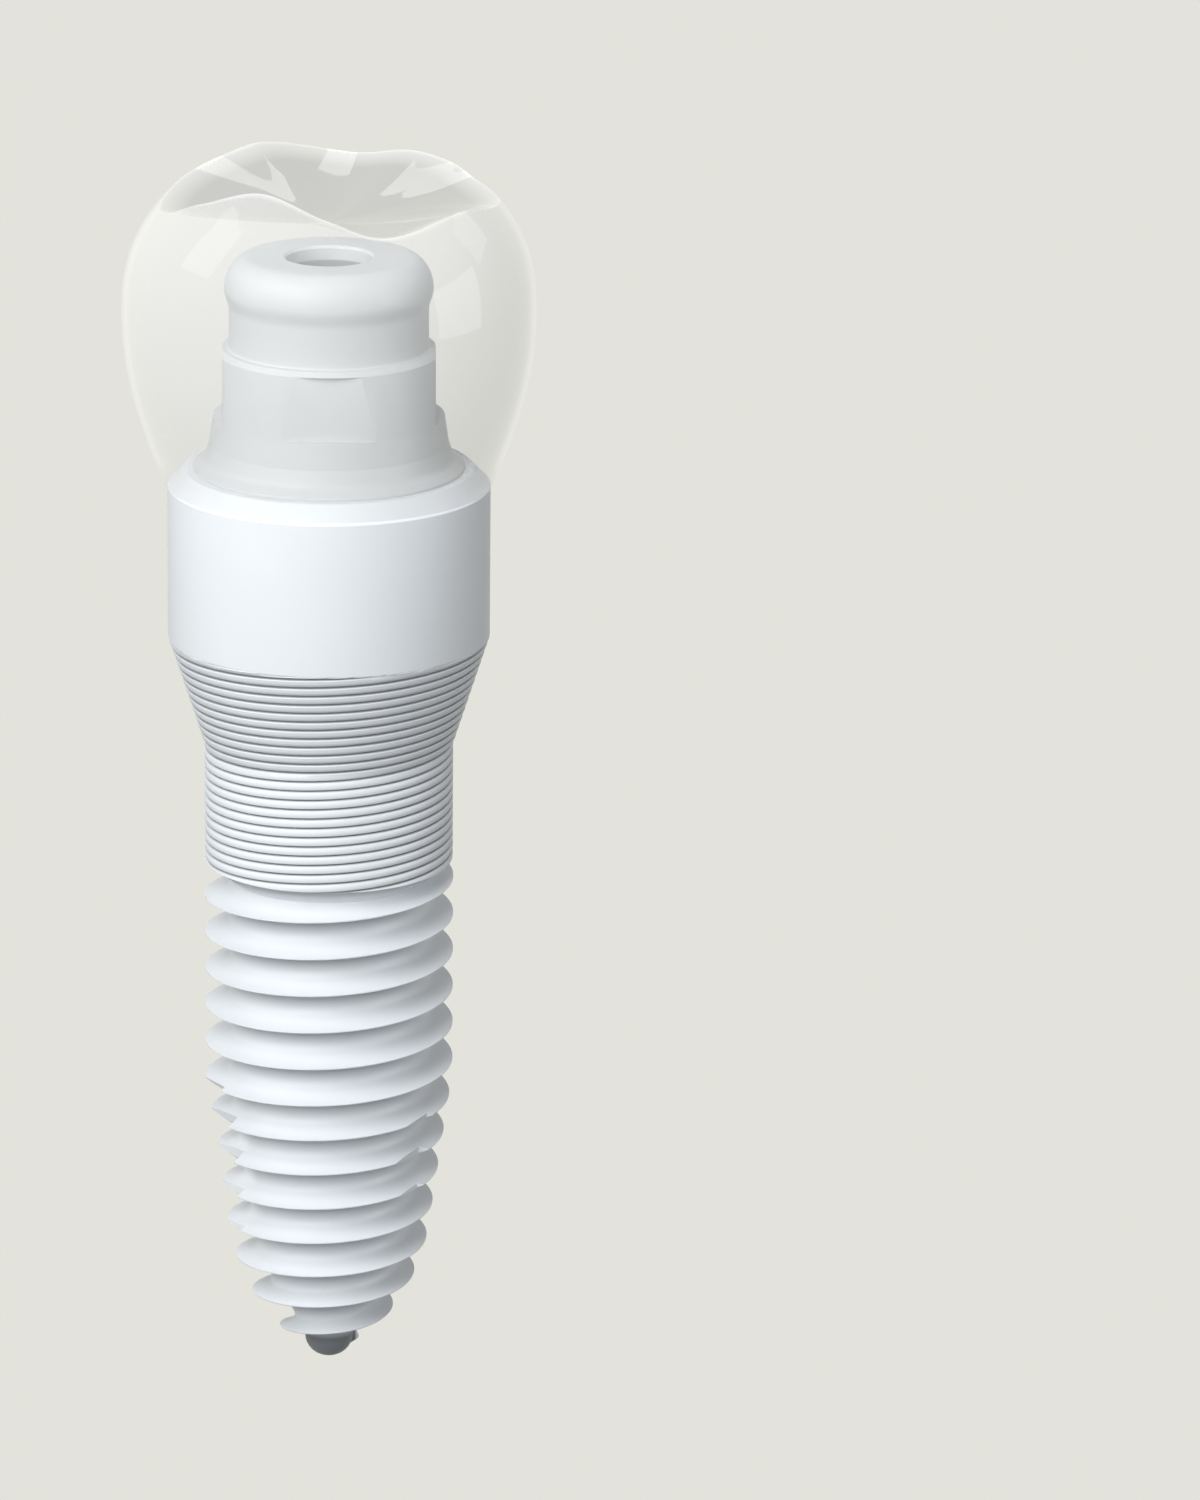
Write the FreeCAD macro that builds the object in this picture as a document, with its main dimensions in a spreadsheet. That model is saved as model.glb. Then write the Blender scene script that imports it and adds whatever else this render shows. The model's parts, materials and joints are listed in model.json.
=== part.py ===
import FreeCAD, Part
import math
import os

import Sketcher

# Dental implant: a titanium fixture with its abutment, the abutment's screw and a ceramic crown.
# Millimetres. The fixture's axis is Z and the crown is up. The origin is the centre of the shoulder,
# at the height of the collar's upper edge. The cheek side of the tooth faces -Y.

Vector = FreeCAD.Vector

# Driving sizes: alias, value, meaning
SIZES = [
    ("collar_diameter", 5.0, "smooth collar and shoulder"),
    ("collar_height", 2.4, "smooth cylinder under the shoulder's edge"),
    ("shoulder_bevel", 0.27, "bevel at 45 degrees around the shoulder"),
    ("cone_height", 1.75, "cone from the collar down to the neck"),
    ("neck_diameter", 3.88, "cylinder that carries the lower micro-threads"),
    ("neck_height", 1.88, "height of that cylinder"),
    ("neck_undercut", 0.3, "height of the cone from the neck's lower edge to the thread's core"),
    ("thread_diameter", 3.9, "over the crests of the main thread"),
    ("thread_pitch", 0.6, "main thread, single start, right-handed"),
    ("thread_depth", 0.42, "crest to core"),
    ("thread_foot", 0.05, "depth of the thread's foot inside the core"),
    ("crest_height", 0.03, "flat of the crest"),
    ("crest_start_depth", 0.485, "crest at the front below the neck's lower edge"),
    ("ridge_lead_in", 275.0, "degrees of thread above that point"),
    ("ridge_end_depth", 0.08, "the thread ends where it stands this far over the tip's pin"),
    ("straight_height", 3.57, "cylindrical part of the main thread"),
    ("taper_height", 2.5, "straight taper under it"),
    ("taper_angle", 8.1, "half angle of the taper, degrees"),
    ("nose_radius", 3.25, "arc of the crests from the taper to the tip"),
    ("tip_radius", 0.38, "round tip of the core"),
    ("tip_flat_radius", 0.04, "small flat where the tip was parted off"),
    ("tip_below_taper", 2.26, "tip's lowest point below the taper"),
    ("flute_count", 3.0, "cutting flutes around the taper"),
    ("flute_floor", 1.5, "distance of each flute's flat floor from the axis"),
    ("flute_angle", -62.0, "first flute's corner, degrees from the front"),
    ("flute_wall_slant", 30.0, "slant of its steep wall, degrees"),
    ("flute_cutter_radius", 3.1, "wheel that leaves the run-out at the top"),
    ("flute_full_depth_below", 1.4, "full depth is reached this far below the straight part"),
    ("socket_mouth_radius", 1.47, "tapered socket, at the shoulder's land"),
    ("socket_end_radius", 1.24, "tapered socket, at its lower end"),
    ("socket_depth", 1.85, "tapered socket, below the land"),
    ("hex_width", 1.9, "abutment's hexagon across its flats"),
    ("hex_depth", 0.95, "hexagon's socket below the tapered one"),
    ("bore_depth", 3.6, "screw's bore below the hexagon's socket"),
    ("fit_clearance", 0.02, "gap between the fixture, the abutment and the screw"),
    ("skirt_base_radius", 2.1, "abutment's skirt where it seats on the land"),
    ("skirt_rim_height", 0.05, "upright rim of the skirt"),
    ("skirt_waist_radius", 1.85, "skirt above its flare"),
    ("skirt_waist_height", 0.42, "that waist above the land"),
    ("skirt_flare_radius", 0.43, "hollow arc of the flare"),
    ("ledge_height", 0.83, "ledge under the flats, above the land"),
    ("post_base_radius", 1.79, "post at the ledge"),
    ("post_top_radius", 1.71, "post at its top"),
    ("post_top_height", 1.84, "post's upper edge above the land"),
    ("step_height", 1.92, "step from the post to the neck groove, above the land"),
    ("flat_distance", 1.64, "each of the four flats from the axis"),
    ("groove_radius", 1.54, "neck groove under the snap head"),
    ("head_bottom_height", 2.47, "snap head's lower edge above the land"),
    ("head_radius", 1.61, "snap head at its widest"),
    ("head_mid_height", 2.84, "height of its widest circle above the land"),
    ("head_flat_radius", 1.27, "flat top of the head"),
    ("head_upper_rounding", 0.39, "arc from that flat to the widest circle"),
    ("head_lower_rounding", 0.27, "arc from the widest circle to the head's lower edge"),
    ("abutment_height", 3.345, "top of the abutment above the land"),
    ("channel_rim_radius", 0.7, "screw channel at its chamfered mouth"),
    ("channel_radius", 0.66, "screw channel"),
    ("screw_seat_height", 0.35, "seat of the screw's head above the land"),
    ("screw_head_height", 0.9, "screw's head"),
    ("screw_radius", 0.5, "screw's thread"),
    ("screw_neck_radius", 0.4, "waist under the screw's head"),
    ("screw_neck_length", 2.4, "length of that waist"),
    ("screw_end_gap", 0.35, "room between the screw's end and the bore's bottom"),
    ("driver_width", 0.7, "hexagon for the driver across its flats"),
    ("driver_depth", 0.5, "depth of that hexagon"),
    ("crown_bulge_radius", 3.2, "crown at its widest, mesial to distal"),
    ("crown_bulge_height", 2.75, "height of its widest outline"),
    ("crown_depth_ratio", 1.0, "cheek-to-tongue width over the mesial-to-distal width"),
    ("crown_shoulder_height", 4.25, "where the wall turns in below the ridges"),
    ("crown_shoulder_radius", 2.82, "crown's radius there"),
    ("crown_top_height", 5.3, "top of the crown before its chewing surface is cut"),
    ("crown_top_radius", 1.75, "crown's radius there"),
    ("cusp_height", 5.08, "highest cusp"),
    ("groove_height", 4.43, "lowest point of the ridge around the chewing surface"),
    ("crown_ridge_radius", 2.6, "that ridge where it is widest"),
    ("fossa_height", 4.15, "central pit"),
    ("cement_gap", 0.06, "gap between the abutment and the crown's hollow"),
]


class Term:
    """A number together with the expression that gives it in the document."""

    def __init__(self, value, text=None):
        self.value = float(value)
        self.text = text or repr(float(value))

    def joined(self, other, sign, value):
        other = other if isinstance(other, Term) else Term(other)
        return Term(value(self.value, other.value), f"({self.text} {sign} {other.text})")

    def __add__(self, other):
        return self.joined(other, "+", lambda a, b: a + b)

    def __sub__(self, other):
        return self.joined(other, "-", lambda a, b: a - b)

    def __mul__(self, other):
        return self.joined(other, "*", lambda a, b: a * b)

    def __truediv__(self, other):
        return self.joined(other, "/", lambda a, b: a / b)

    def __neg__(self):
        return Term(-1) * self


document = FreeCAD.newDocument("dental_implant")
sheet = document.addObject("Spreadsheet::Sheet", "sizes")
size = {}
for row, (alias, value, meaning) in enumerate(SIZES, start=1):
    sheet.set(f"A{row}", meaning)
    sheet.set(f"B{row}", str(value))
    sheet.setAlias(f"B{row}", alias)
    size[alias] = Term(value, f"sizes.{alias}")
document.recompute()


def number(alias):
    return size[alias].value


# Heights and radii that several pieces share
ZERO = Term(0)
collar_radius = size["collar_diameter"] / 2
neck_radius = size["neck_diameter"] / 2
crest_radius = size["thread_diameter"] / 2
core_radius = crest_radius - size["thread_depth"]
land_height = size["shoulder_bevel"]
land_radius = collar_radius - size["shoulder_bevel"]
collar_bottom = -size["collar_height"]
neck_top = collar_bottom - size["cone_height"]
neck_bottom = neck_top - size["neck_height"]
taper_top = neck_bottom - size["straight_height"]
taper_bottom = taper_top - size["taper_height"]
tip_bottom = taper_bottom - size["tip_below_taper"]
socket_bottom = land_height - size["socket_depth"]
hex_bottom = socket_bottom - size["hex_depth"]
bore_bottom = hex_bottom - size["bore_depth"]
bore_radius = size["screw_radius"] + size["fit_clearance"]
seat_height = land_height + size["screw_seat_height"]


def arc_through(start, end, radius, side):
    """A round side between two corners, bulging to the left or the right of the way it runs."""
    chord = end - start
    rise = radius - math.sqrt(radius * radius - chord.Length * chord.Length / 4)
    across = Vector(-chord.y, chord.x, 0).normalize() * rise
    if side == "left":
        return Part.Arc(end, (start + end) / 2 + across, start)
    return Part.Arc(start, (start + end) / 2 - across, end)


def outline(sketch, corners, arcs=None):
    """Draws a closed outline through corners and ties each one to its expressions.

    arcs gives the radius and the bulging side of each round side, by the index of its first corner.
    """
    arcs = arcs or {}
    points = [Vector(across.value, up.value, 0) for across, up in corners]
    # The number of each side's first and last end. An arc is stored anticlockwise, so one that
    # bulges to the left has its ends the other way round.
    first_end = []
    last_end = []
    for index, start in enumerate(points):
        end = points[(index + 1) % len(points)]
        turned_round = False
        if index in arcs:
            radius, side = arcs[index]
            sketch.addGeometry(arc_through(start, end, radius.value, side), False)
            turned_round = side == "left"
        else:
            sketch.addGeometry(Part.LineSegment(start, end), False)
        first_end.append(2 if turned_round else 1)
        last_end.append(1 if turned_round else 2)
    for index in range(len(points)):
        following = (index + 1) % len(points)
        sketch.addConstraint(Sketcher.Constraint(
            "Coincident", index, last_end[index], following, first_end[following]))
    for index, (across, up) in enumerate(corners):
        for kind, axis, term in (("DistanceX", -2, across), ("DistanceY", -1, up)):
            if term.value == 0:
                sketch.addConstraint(Sketcher.Constraint("PointOnObject", index, first_end[index], axis))
            else:
                place = sketch.addConstraint(Sketcher.Constraint(
                    kind, -1, 1, index, first_end[index], term.value))
                sketch.setExpression(f"Constraints[{place}]", term.text)
    for index, (radius, _) in arcs.items():
        place = sketch.addConstraint(Sketcher.Constraint("Radius", index, radius.value))
        sketch.setExpression(f"Constraints[{place}]", radius.text)


def plane(body, role):
    return [feature for feature in body.Origin.OriginFeatures if feature.Role == role][0]


def new_sketch(body, name, role, height=None):
    """A sketch on one of the body's own planes, lifted to a height that follows the sheet."""
    sketch = body.newObject("Sketcher::SketchObject", name)
    sketch.AttachmentSupport = [(plane(body, role), "")]
    sketch.MapMode = "FlatFace"
    if height is not None:
        sketch.AttachmentOffset = FreeCAD.Placement(Vector(0, 0, height.value), FreeCAD.Rotation())
        sketch.setExpression("AttachmentOffset.Base.z", height.text)
    return sketch


def turned(body, name, corners, arcs=None, cut=False):
    """A turned form, or a turned hollow, about the Z axis."""
    sketch = new_sketch(body, f"{name}_outline", "XZ_Plane")
    outline(sketch, corners, arcs)
    feature = body.newObject("PartDesign::Groove" if cut else "PartDesign::Revolution", name)
    feature.Profile = sketch
    feature.ReferenceAxis = (sketch, ["V_Axis"])
    feature.Angle = 360
    document.recompute()
    return feature


def hexagon(sketch, width):
    """A hexagon with two corners on the X axis."""
    corner = width / math.sqrt(3)
    corners = []
    for step in range(6):
        across = round(math.cos(math.radians(60 * step)), 9)
        up = round(math.sin(math.radians(60 * step)), 9)
        corners.append((corner * across, corner * up if up else ZERO))
    outline(sketch, corners)


def new_body(label):
    body = document.addObject("PartDesign::Body", label)
    body.Label = label
    return body


def shape_feature(label, shape):
    feature = document.addObject("Part::Feature", label)
    feature.Label = label
    feature.Shape = shape
    return feature


def combined(kind, label, base, tool):
    feature = document.addObject(kind, label)
    feature.Label = label
    feature.Base = base
    feature.Tool = tool
    document.recompute()
    return feature


def core_at(height):
    """The core's radius at a height, down to the pin at its tip."""
    return max(crest_at(height) - number("thread_depth"), number("tip_radius"))


def crest_at(height):
    """The crest's radius at a height: a cylinder, a straight taper, then the nose's arc."""
    slope = math.radians(number("taper_angle"))
    below = taper_top.value - height
    if below <= 0:
        return crest_radius.value
    if below <= number("taper_height"):
        return crest_radius.value - below * math.tan(slope)
    taper_end = crest_radius.value - number("taper_height") * math.tan(slope)
    turned_by = math.asin(math.sin(slope) + (below - number("taper_height")) / number("nose_radius"))
    return taper_end - number("nose_radius") * (math.cos(slope) - math.cos(turned_by))


def fixture_blank():
    """The turned fixture: collar, cone, neck, core and tip, with its socket and bore."""
    body = new_body("fixture_blank")
    slope = math.radians(number("taper_angle"))
    core_at_taper_end = core_radius - size["taper_height"] * math.tan(slope)
    tip_rounding = size["tip_radius"] - size["tip_flat_radius"]
    tip_middle = tip_bottom + tip_rounding
    # The core follows the nose's arc at the thread's depth, in straight runs, until it meets the
    # tip's radius
    fall = (core_at_taper_end.value - number("tip_radius")) / number("nose_radius")
    nose_end = math.acos(math.cos(slope) - fall)
    nose_runs = 4
    nose = []
    for run in range(1, nose_runs):
        angle = slope + (nose_end - slope) * run / nose_runs
        inwards = math.cos(slope) - math.cos(angle)
        down = math.sin(angle) - math.sin(slope)
        nose.append((
            core_at_taper_end - size["nose_radius"] * inwards,
            taper_bottom - size["nose_radius"] * down,
        ))
    nose_height = size["nose_radius"] * (math.sin(nose_end) - math.sin(slope))
    tip = []
    for degrees in (0, 30, 60):
        angle = math.radians(degrees)
        tip.append((
            size["tip_flat_radius"] + tip_rounding * math.cos(angle),
            tip_middle - tip_rounding * math.sin(angle),
        ))
    corners = [
        (ZERO, land_height),
        (land_radius, land_height),
        (collar_radius, ZERO),
        (collar_radius, collar_bottom),
        (neck_radius, neck_top),
        (neck_radius, neck_bottom),
        (core_radius, neck_bottom - size["neck_undercut"]),
        (core_radius, taper_top),
        (core_at_taper_end, taper_bottom),
        *nose,
        (size["tip_radius"], taper_bottom - nose_height),
        *tip,
        (size["tip_flat_radius"], tip_bottom),
        (ZERO, tip_bottom),
    ]
    turned(body, "fixture_turning", corners)
    socket = [
        (ZERO, land_height),
        (size["socket_mouth_radius"], land_height),
        (size["socket_end_radius"], socket_bottom),
        (bore_radius, socket_bottom),
        (bore_radius, bore_bottom),
        (ZERO, bore_bottom - bore_radius * math.tan(math.radians(30))),
    ]
    turned(body, "fixture_socket", socket, cut=True)
    hex_sketch = new_sketch(body, "fixture_hexagon_outline", "XY_Plane", socket_bottom)
    hexagon(hex_sketch, size["hex_width"] + size["fit_clearance"] * 2)
    pocket = body.newObject("PartDesign::Pocket", "fixture_hexagon")
    pocket.Profile = hex_sketch
    pocket.Length = number("hex_depth")
    pocket.setExpression("Length", "sizes.hex_depth")
    document.recompute()
    return body


def helix_edge(share, lift, turns_up, turns_down):
    """One edge of the thread: a smooth curve, a share of the way from the crest to the foot.

    Its parameter counts turns from the upper end, so the thread's edges stay in step.
    """
    steps_per_turn = 12
    first = neck_bottom.value - number("crest_start_depth")
    pitch = number("thread_pitch")
    count = math.ceil((turns_up + turns_down) * steps_per_turn)
    points = []
    for step in range(count + 1):
        turn = turns_up - (turns_up + turns_down) * step / count
        height = first + pitch * turn
        crest = crest_at(height)
        foot = core_at(height + lift) - number("thread_foot")
        radius = crest + (foot - crest) * share
        angle = 2 * math.pi * turn
        points.append(Vector(radius * math.sin(angle), -radius * math.cos(angle), height + lift))
    curve = Part.BSplineCurve()
    curve.interpolate(Points=points, Parameters=[step / steps_per_turn for step in range(count + 1)])
    return curve


def thread_ridge():
    """The main thread as one solid ridge, its foot sunk into the core.

    Its upper side is almost flat at the crest and steepens towards the core, and its underside is
    nearly level.
    """
    pitch = number("thread_pitch")
    half_crest = number("crest_height") / 2
    # Share of the way from the crest to the foot, and height above the crest's middle
    section = [
        (0.0, -half_crest),
        (0.0, half_crest),
        (0.56, pitch * 0.14),
        (1.0, pitch * 0.4),
        (1.0, -pitch * 0.14),
    ]
    # The thread ends where the nose's arc brings its crest down to the tip's pin
    slope = math.radians(number("taper_angle"))
    fall = crest_at(taper_bottom.value) - number("tip_radius") - number("ridge_end_depth")
    end_slope = math.acos(math.cos(slope) - fall / number("nose_radius"))
    end_height = taper_bottom.value - number("nose_radius") * (math.sin(end_slope) - math.sin(slope))
    turns_up = number("ridge_lead_in") / 360
    turns_down = (neck_bottom.value - number("crest_start_depth") - end_height) / pitch
    curves = [helix_edge(share, lift, turns_up, turns_down) for share, lift in section]
    # Each turn is a few faces long: longer ones join badly to the core
    faces_per_turn = 3
    last = curves[0].LastParameter
    faces = []
    for part in range(math.ceil(last * faces_per_turn)):
        start = part / faces_per_turn
        end = min((part + 1) / faces_per_turn, last)
        edges = [curve.toShape(start, end) for curve in curves]
        for index, edge in enumerate(edges):
            faces.append(Part.makeRuledSurface(edge, edges[(index + 1) % len(edges)]))
    for turn in (0, last):
        corners = [curve.value(turn) for curve in curves]
        faces.append(Part.Face(Part.makePolygon(corners + corners[:1])))
    shell = Part.makeShell(faces)
    shell.sewShape()
    solid = Part.makeSolid(shell)
    if solid.Volume < 0:
        solid.reverse()
    return shape_feature("thread_ridge", solid)


def flute_cutters():
    """What the milling wheel takes out for the flutes: a flat floor with one slanted wall."""
    floor = number("flute_floor")
    reach = collar_radius.value
    run_out = number("flute_cutter_radius")
    lean = (reach - floor) * math.tan(math.radians(number("flute_wall_slant")))
    full_depth = taper_top.value - number("flute_full_depth_below")
    # Local X runs along the floor and local Y runs outwards from the axis
    section = [(0, floor), (reach, floor), (reach, reach), (-lean, reach), (0, floor)]
    face = Part.Face(Part.makePolygon([Vector(across, out, full_depth) for across, out in section]))
    length = number("taper_height") + number("tip_below_taper")
    straight = face.extrude(Vector(0, 0, -length))
    sweep = math.degrees(math.acos(1 - (crest_radius.value - floor) / run_out)) + 20
    wheel = face.copy()
    wheel = wheel.revolve(Vector(0, floor + run_out, full_depth), Vector(1, 0, 0), -sweep)
    cutter = straight.fuse(wheel)
    cutters = []
    for index in range(round(number("flute_count"))):
        turn = number("flute_angle") + index * 360 / number("flute_count")
        copy = cutter.copy()
        copy.rotate(Vector(0, 0, 0), Vector(0, 0, 1), 180 + turn)
        cutters.append(copy)
    return shape_feature("flute_cutters", Part.makeCompound(cutters))


def implant_body():
    threaded = combined("Part::Fuse", "threaded_fixture", fixture_blank(), thread_ridge())
    return combined("Part::Cut", "implant_body", threaded, flute_cutters())


def abutment():
    """The turned and milled post that seats on the shoulder's land."""
    body = new_body("abutment")
    gap = size["fit_clearance"]
    top = land_height + size["abutment_height"]
    head_middle = land_height + size["head_mid_height"]
    head_bottom = land_height + size["head_bottom_height"]
    waist = land_height + size["skirt_waist_height"]
    rim = land_height + size["skirt_rim_height"]
    ledge = land_height + size["ledge_height"]
    cone_end = size["socket_end_radius"] - gap
    cone_mouth = size["socket_mouth_radius"] - gap
    corners = [
        (ZERO, top),
        (size["head_flat_radius"], top),
        (size["head_radius"], head_middle),
        (size["groove_radius"], head_bottom),
        (size["groove_radius"], land_height + size["step_height"]),
        (size["flat_distance"], land_height + size["step_height"]),
        (size["post_top_radius"], land_height + size["post_top_height"]),
        (size["post_base_radius"], ledge),
        (size["skirt_waist_radius"], waist),
        (size["skirt_base_radius"], rim),
        (size["skirt_base_radius"], land_height),
        (cone_mouth, land_height),
        (cone_end, socket_bottom + gap),
        (ZERO, socket_bottom + gap),
    ]
    arcs = {
        1: (size["head_upper_rounding"], "left"),
        2: (size["head_lower_rounding"], "left"),
        8: (size["skirt_flare_radius"], "right"),
    }
    turned(body, "abutment_turning", corners, arcs)

    flat_sketch = new_sketch(body, "abutment_flat_outline", "XY_Plane", ledge)
    half_width = size["flat_distance"]
    outline(flat_sketch, [
        (size["flat_distance"], -half_width),
        (size["skirt_base_radius"], -half_width),
        (size["skirt_base_radius"], half_width),
        (size["flat_distance"], half_width),
    ])
    flat = body.newObject("PartDesign::Pocket", "abutment_flat")
    flat.Profile = flat_sketch
    flat.Reversed = True
    flat.Length = number("step_height") - number("ledge_height")
    flat.setExpression("Length", "sizes.step_height - sizes.ledge_height")
    document.recompute()
    pattern = body.newObject("PartDesign::PolarPattern", "abutment_flats")
    pattern.Originals = [flat]
    pattern.Axis = (flat_sketch, ["N_Axis"])
    pattern.Angle = 360
    pattern.Occurrences = 4
    body.Tip = pattern
    document.recompute()

    hex_sketch = new_sketch(body, "abutment_hexagon_outline", "XY_Plane", socket_bottom + gap)
    hexagon(hex_sketch, size["hex_width"])
    hex_pad = body.newObject("PartDesign::Pad", "abutment_hexagon")
    hex_pad.Profile = hex_sketch
    hex_pad.Reversed = True
    hex_pad.Length = number("hex_depth") - 2 * number("fit_clearance")
    hex_pad.setExpression("Length", "sizes.hex_depth - 2 * sizes.fit_clearance")
    document.recompute()

    chamfer = size["channel_rim_radius"] - size["channel_radius"]
    channel = [
        (ZERO, top),
        (size["channel_rim_radius"], top),
        (size["channel_radius"], top - chamfer),
        (size["channel_radius"], seat_height),
        (bore_radius, seat_height),
        (bore_radius, hex_bottom),
        (ZERO, hex_bottom),
    ]
    turned(body, "abutment_channel", channel, cut=True)
    return body


def abutment_screw():
    """The clamping screw: a head with a hexagon for the driver, a waist and a threaded end."""
    body = new_body("abutment_screw")
    head_radius = size["channel_radius"] - size["fit_clearance"]
    head_top = seat_height + size["screw_head_height"]
    waist_end = seat_height - size["screw_neck_length"]
    end = bore_bottom + size["screw_end_gap"]
    head_chamfer = size["fit_clearance"] * 3
    shoulder = size["screw_radius"] - size["screw_neck_radius"]
    corners = [
        (ZERO, head_top),
        (head_radius - head_chamfer, head_top),
        (head_radius, head_top - head_chamfer),
        (head_radius, seat_height),
        (size["screw_neck_radius"], seat_height),
        (size["screw_neck_radius"], waist_end),
        (size["screw_radius"], waist_end - shoulder),
        (size["screw_radius"], end + shoulder),
        (size["screw_neck_radius"], end),
        (ZERO, end),
    ]
    turned(body, "screw_turning", corners)
    driver_sketch = new_sketch(body, "screw_driver_outline", "XY_Plane", head_top)
    hexagon(driver_sketch, size["driver_width"])
    driver = body.newObject("PartDesign::Pocket", "screw_driver")
    driver.Profile = driver_sketch
    driver.Length = number("driver_depth")
    driver.setExpression("Length", "sizes.driver_depth")
    document.recompute()
    return body


def crown_section(height, radius, depth_ratio, squareness):
    """A closed outline of the crown: a circle, or a rounded square where squareness is above zero."""
    points = []
    for step in range(16):
        angle = 2 * math.pi * step / 16
        reach = radius * (1 + squareness * (1 - math.cos(4 * angle)))
        points.append(Vector(reach * math.cos(angle), reach * depth_ratio * math.sin(angle), height))
    curve = Part.BSplineCurve()
    curve.interpolate(points, PeriodicFlag=True)
    return Part.Wire(curve.toShape())


def crown_wall():
    """The crown's outside, from its margin on the shoulder to above its cusps."""
    margin = collar_radius.value
    bulge = number("crown_bulge_radius")
    ratio = number("crown_depth_ratio")
    bulge_height = number("crown_bulge_height")
    shoulder_height = number("crown_shoulder_height")
    shoulder = number("crown_shoulder_radius")
    top_height = number("crown_top_height")
    swell = bulge - margin
    levels = [
        (0.0, margin, 1.0, 0.0),
        (bulge_height * 0.27, margin + swell * 0.46, 1 + (ratio - 1) * 0.5, 0.008),
        (bulge_height * 0.58, margin + swell * 0.82, 1 + (ratio - 1) * 0.8, 0.018),
        (bulge_height, bulge, ratio, 0.028),
        (bulge_height + (shoulder_height - bulge_height) * 0.6, bulge * 0.965, ratio, 0.034),
        (shoulder_height, shoulder, ratio, 0.038),
        (shoulder_height + (top_height - shoulder_height) * 0.5,
         (shoulder + number("crown_top_radius")) / 2 + swell * 0.12, ratio, 0.038),
        (top_height, number("crown_top_radius"), ratio, 0.038),
    ]
    sections = [crown_section(*level) for level in levels]
    return shape_feature("crown_wall", Part.makeLoft(sections, True, False))


# The ridge around the chewing surface: degrees from the front towards +X, its radius as a share of
# the widest, and its height as a share of the rise from the lowest groove to the highest cusp
RIDGE = [
    (-151, 0.83, 0.83), (-134, 0.88, 0.62), (-115, 0.92, 0.38), (-78, 1.0, 0.0), (-50, 0.96, 0.57),
    (-25, 0.91, 1.0), (0, 0.945, 0.45), (19, 0.977, 0.03), (51, 0.99, 0.38), (74, 1.0, 0.17),
    (97, 1.0, 0.05), (118, 0.99, 0.15), (130, 0.96, 0.43), (146, 0.885, 0.63), (169, 0.86, 0.48),
]


def ridge_at(degrees):
    """Radius and height of the ridge in one direction, eased from each of its points to the next."""
    first = RIDGE[0][0]
    degrees = (degrees - first) % 360 + first
    for (low, *start), (high, *end) in zip(RIDGE, RIDGE[1:] + [(first + 360, *RIDGE[0][1:])]):
        if degrees <= high:
            break
    way = (degrees - low) / (high - low)
    ease = way * way * (3 - 2 * way)
    radius_share, height_share = (a + (b - a) * ease for a, b in zip(start, end))
    rise = number("cusp_height") - number("groove_height")
    return number("crown_ridge_radius") * radius_share, number("groove_height") + rise * height_share


def chewing_height(across, out):
    """The chewing surface: it falls from the ridge into a pit in the middle, and goes on rising
    outside the ridge."""
    radius, height = ridge_at(math.degrees(math.atan2(across, -out)))
    fossa = number("fossa_height")
    distance = min(math.hypot(across, out) / radius, 1.35)
    return fossa + (height - fossa) * distance ** 1.7


def chewing_cutter():
    """All that lies above the chewing surface."""
    span = number("crown_bulge_radius") * 1.1
    steps = 18
    rows = []
    for row in range(steps + 1):
        out = -span + 2 * span * row / steps
        line = []
        for column in range(steps + 1):
            across = -span + 2 * span * column / steps
            line.append(Vector(across, out, chewing_height(across, out)))
        rows.append(line)
    surface = Part.BSplineSurface()
    surface.interpolate(rows)
    lift = number("crown_top_height") - number("fossa_height") + number("cusp_height")
    return shape_feature("chewing_cutter", surface.toShape().extrude(Vector(0, 0, lift)))


def crown_hollow():
    """The hollow that fits over the abutment, with the margin's seat on the bevel."""
    body = new_body("crown_hollow")
    gap = size["cement_gap"]
    below = -size["shoulder_bevel"]
    skirt = size["skirt_base_radius"] + gap
    post = size["skirt_waist_radius"] + gap
    roof = land_height + size["abutment_height"] + gap * 2
    corners = [
        (ZERO, below),
        (collar_radius + size["shoulder_bevel"] + gap, below),
        (land_radius + gap, land_height),
        (skirt, land_height),
        (skirt, land_height + size["skirt_rim_height"] + gap),
        (post, land_height + size["skirt_waist_height"] + gap),
        (post, roof - size["shoulder_bevel"]),
        (post - size["shoulder_bevel"], roof),
        (ZERO, roof),
    ]
    turned(body, "crown_hollow_form", corners)
    return body


def crown():
    carved = combined("Part::Cut", "crown_carved", crown_wall(), chewing_cutter())
    return combined("Part::Cut", "crown", carved, crown_hollow())


pieces = [implant_body(), abutment(), abutment_screw(), crown()]
document.recompute()

for feature in document.Objects:
    if "Invalid" in feature.State or "Error" in feature.State:
        raise RuntimeError(f"{feature.Label} failed: {feature.State}")

os.makedirs("parts", exist_ok=True)
for piece in pieces:
    shape = piece.Shape
    if shape.isNull() or not shape.isValid():
        raise RuntimeError(f"{piece.Label} has no valid shape")
    shape.exportStep(f"parts/{piece.Label}.step")
    box = shape.optimalBoundingBox()
    print(f"{piece.Label}: {len(shape.Solids)} solid, {shape.Volume:.3f} mm3, "
          f"z {box.ZMin:.3f} to {box.ZMax:.3f}, x {box.XMin:.3f} to {box.XMax:.3f}")
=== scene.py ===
import json
import math

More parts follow.
